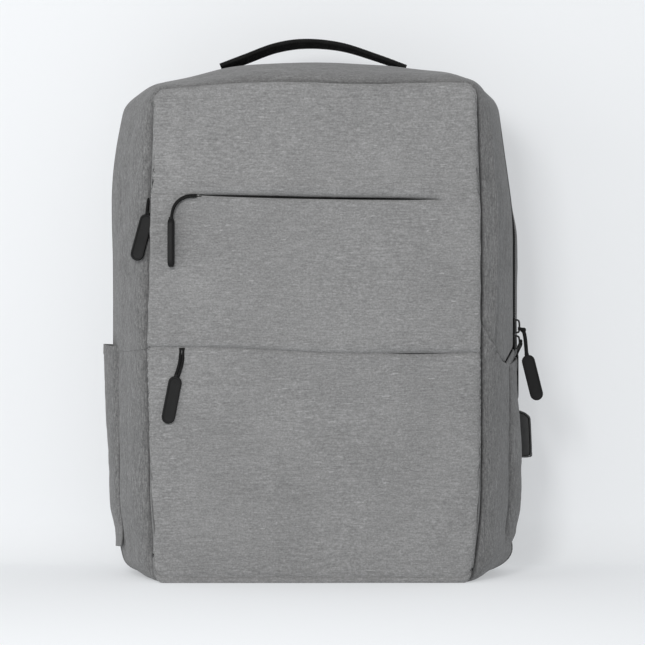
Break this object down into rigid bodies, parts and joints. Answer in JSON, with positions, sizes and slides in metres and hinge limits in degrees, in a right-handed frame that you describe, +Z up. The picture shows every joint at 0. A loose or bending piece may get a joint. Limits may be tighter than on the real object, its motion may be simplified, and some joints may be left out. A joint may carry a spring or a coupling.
{
  "type": "backpack",
  "caption": "Slim grey laptop backpack with zipped front pockets, side pockets, a top handle and a charging port in its side.",
  "frame": {"origin": "middle of the flat base, on the surface that the pack stands on", "axes": "+Z up along the pack's height, -Y towards the front panel, +X to the side with the charging port"},
  "size_m": [0.3663, 0.2015, 0.4521],
  "materials": {
    "body_fabric": "grey heather polyester canvas, matt",
    "front_fabric": "grey heather polyester canvas with fine level streaks, matt",
    "lining": "thin dark woven lining",
    "padding": "black spacer mesh over foam",
    "webbing": "black ribbed polyester webbing",
    "zip_tape": "black zip tape with nylon coil",
    "cord": "black braided cord",
    "pull_rubber": "black moulded rubber, satin",
    "slider_metal": "black lacquered zinc",
    "hard_plastic": "black acetal",
    "port_plastic": "black moulded housing with a gloss rim",
    "port_metal": "nickel-plated socket shell"
  },
  "bodies": {
    "shell": {"back_pads": "padding", "back_panel": "body_fabric", "bottom_panel": "body_fabric", "front_gusset_lower_left": "body_fabric", "front_gusset_lower_right": "body_fabric", "front_panel_lower": "front_fabric", "front_section_lower": "body_fabric", "handle_patches": "webbing", "laptop_divider": "lining", "lower_pocket_lining": "lining", "lower_zip_tape": "zip_tape", "luggage_strap": "webbing", "main_zip_rear_tape": "zip_tape", "port_clamp_plate": "hard_plastic", "port_housing": "port_plastic", "port_socket": "port_metal", "power_bank_pocket": "lining", "rear_gusset_left": "body_fabric", "rear_gusset_right": "body_fabric", "rear_gusset_top": "body_fabric", "side_pocket_left": "body_fabric", "side_pocket_right": "body_fabric", "strap_anchors": "webbing"},
    "flap": {"front_panel_upper": "front_fabric", "front_panel_middle": "front_fabric", "front_section_upper": "body_fabric", "upper_pocket_lining": "lining", "front_gusset_left": "body_fabric", "front_gusset_right": "body_fabric", "front_gusset_top": "body_fabric", "upper_zip_tape": "zip_tape", "side_zip_tape": "zip_tape", "main_zip_front_tape": "zip_tape"},
    "handle": {"top_handle": "webbing"},
    "upper_slider": {"upper_zip_slider": "slider_metal"},
    "upper_pull": {"upper_pull_cord": "cord", "upper_pull_tab": "pull_rubber"},
    "lower_slider": {"lower_zip_slider": "slider_metal"},
    "lower_pull": {"lower_pull_cord": "cord", "lower_pull_tab": "pull_rubber"},
    "side_slider": {"side_zip_slider": "slider_metal"},
    "side_pull": {"side_pull_cord": "cord", "side_pull_tab": "pull_rubber"},
    "main_slider_lower": {"main_lower_slider": "slider_metal"},
    "main_pull_lower": {"main_lower_pull_cord": "cord", "main_lower_pull_tab": "pull_rubber"},
    "main_slider_upper": {"main_upper_slider": "slider_metal"},
    "main_pull_upper": {"main_upper_pull_cord": "cord", "main_upper_pull_tab": "pull_rubber"},
    "left_strap": {"shoulder_strap_left": "padding", "strap_webbing_left": "webbing", "ladder_lock_left": "hard_plastic"},
    "right_strap": {"shoulder_strap_right": "padding", "strap_webbing_right": "webbing", "ladder_lock_right": "hard_plastic"},
    "left_tail": {"webbing_tail_left": "webbing"},
    "right_tail": {"webbing_tail_right": "webbing"}
  },
  "joints": [
    {"name": "main_flap_open", "type": "hinge", "parent": "shell", "child": "flap", "pos_m": [0, -0.07, 0.1887], "axis": [1, 0, 0], "range_deg": [0, 35]},
    {"name": "handle_swing", "type": "hinge", "parent": "shell", "child": "handle", "pos_m": [0, 0.0555, 0.4285], "axis": [1, 0, 0], "range_deg": [-18, 18], "stiffness_Nm_per_rad": 0.03},
    {"name": "upper_zip_slide", "type": "slide", "parent": "flap", "child": "upper_slider", "axis": [1, 0, 0], "range_m": [0, 0.19]},
    {"name": "upper_pull_swing", "type": "hinge", "parent": "upper_slider", "child": "upper_pull", "pos_m": [-0.094, -0.0731, 0.3134], "axis": [0, 1, 0], "range_deg": [-75, 60]},
    {"name": "lower_zip_slide", "type": "slide", "parent": "shell", "child": "lower_slider", "axis": [1, 0, 0], "range_m": [0, 0.215]},
    {"name": "lower_pull_swing", "type": "hinge", "parent": "lower_slider", "child": "lower_pull", "pos_m": [-0.106, -0.0719, 0.18735], "axis": [0, 1, 0], "range_deg": [-65, 65]},
    {"name": "side_zip_slide", "type": "slide", "parent": "flap", "child": "side_slider", "axis": [0, 0, 1], "range_m": [-0.095, 0.012]},
    {"name": "side_pull_swing", "type": "hinge", "parent": "side_slider", "child": "side_pull", "pos_m": [-0.1385, -0.0524, 0.313], "axis": [0, 1, 0], "range_deg": [0, 60]},
    {"name": "main_lower_zip_slide", "type": "slide", "parent": "shell", "child": "main_slider_lower", "axis": [0, 0, 1], "range_m": [0, 0.06]},
    {"name": "main_lower_pull_swing", "type": "hinge", "parent": "main_slider_lower", "child": "main_pull_lower", "pos_m": [0.1744, 0.0115, 0.1945], "axis": [1, 0, 0], "range_deg": [0, 60]},
    {"name": "main_upper_zip_slide", "type": "slide", "parent": "main_slider_lower", "child": "main_slider_upper", "axis": [0, 0, 1], "range_m": [0, 0.03]},
    {"name": "main_upper_pull_swing", "type": "hinge", "parent": "main_slider_upper", "child": "main_pull_upper", "pos_m": [0.1744, 0.01, 0.207], "axis": [0, 1, 0], "range_deg": [-75, 0]},
    {"name": "left_strap_lift", "type": "hinge", "parent": "shell", "child": "left_strap", "pos_m": [-0.052, 0.07, 0.396], "axis": [1, 0, 0], "range_deg": [0, 12]},
    {"name": "right_strap_lift", "type": "hinge", "parent": "shell", "child": "right_strap", "pos_m": [0.052, 0.07, 0.396], "axis": [1, 0, 0], "range_deg": [0, 12]},
    {"name": "left_tail_swing", "type": "hinge", "parent": "left_strap", "child": "left_tail", "pos_m": [-0.08797, 0.1026, 0.0998], "axis": [0.9925, 0, -0.1219], "range_deg": [-10, 60]},
    {"name": "right_tail_swing", "type": "hinge", "parent": "right_strap", "child": "right_tail", "pos_m": [0.08797, 0.1026, 0.0998], "axis": [0.9925, 0, 0.1219], "range_deg": [-10, 60]}
  ]
}
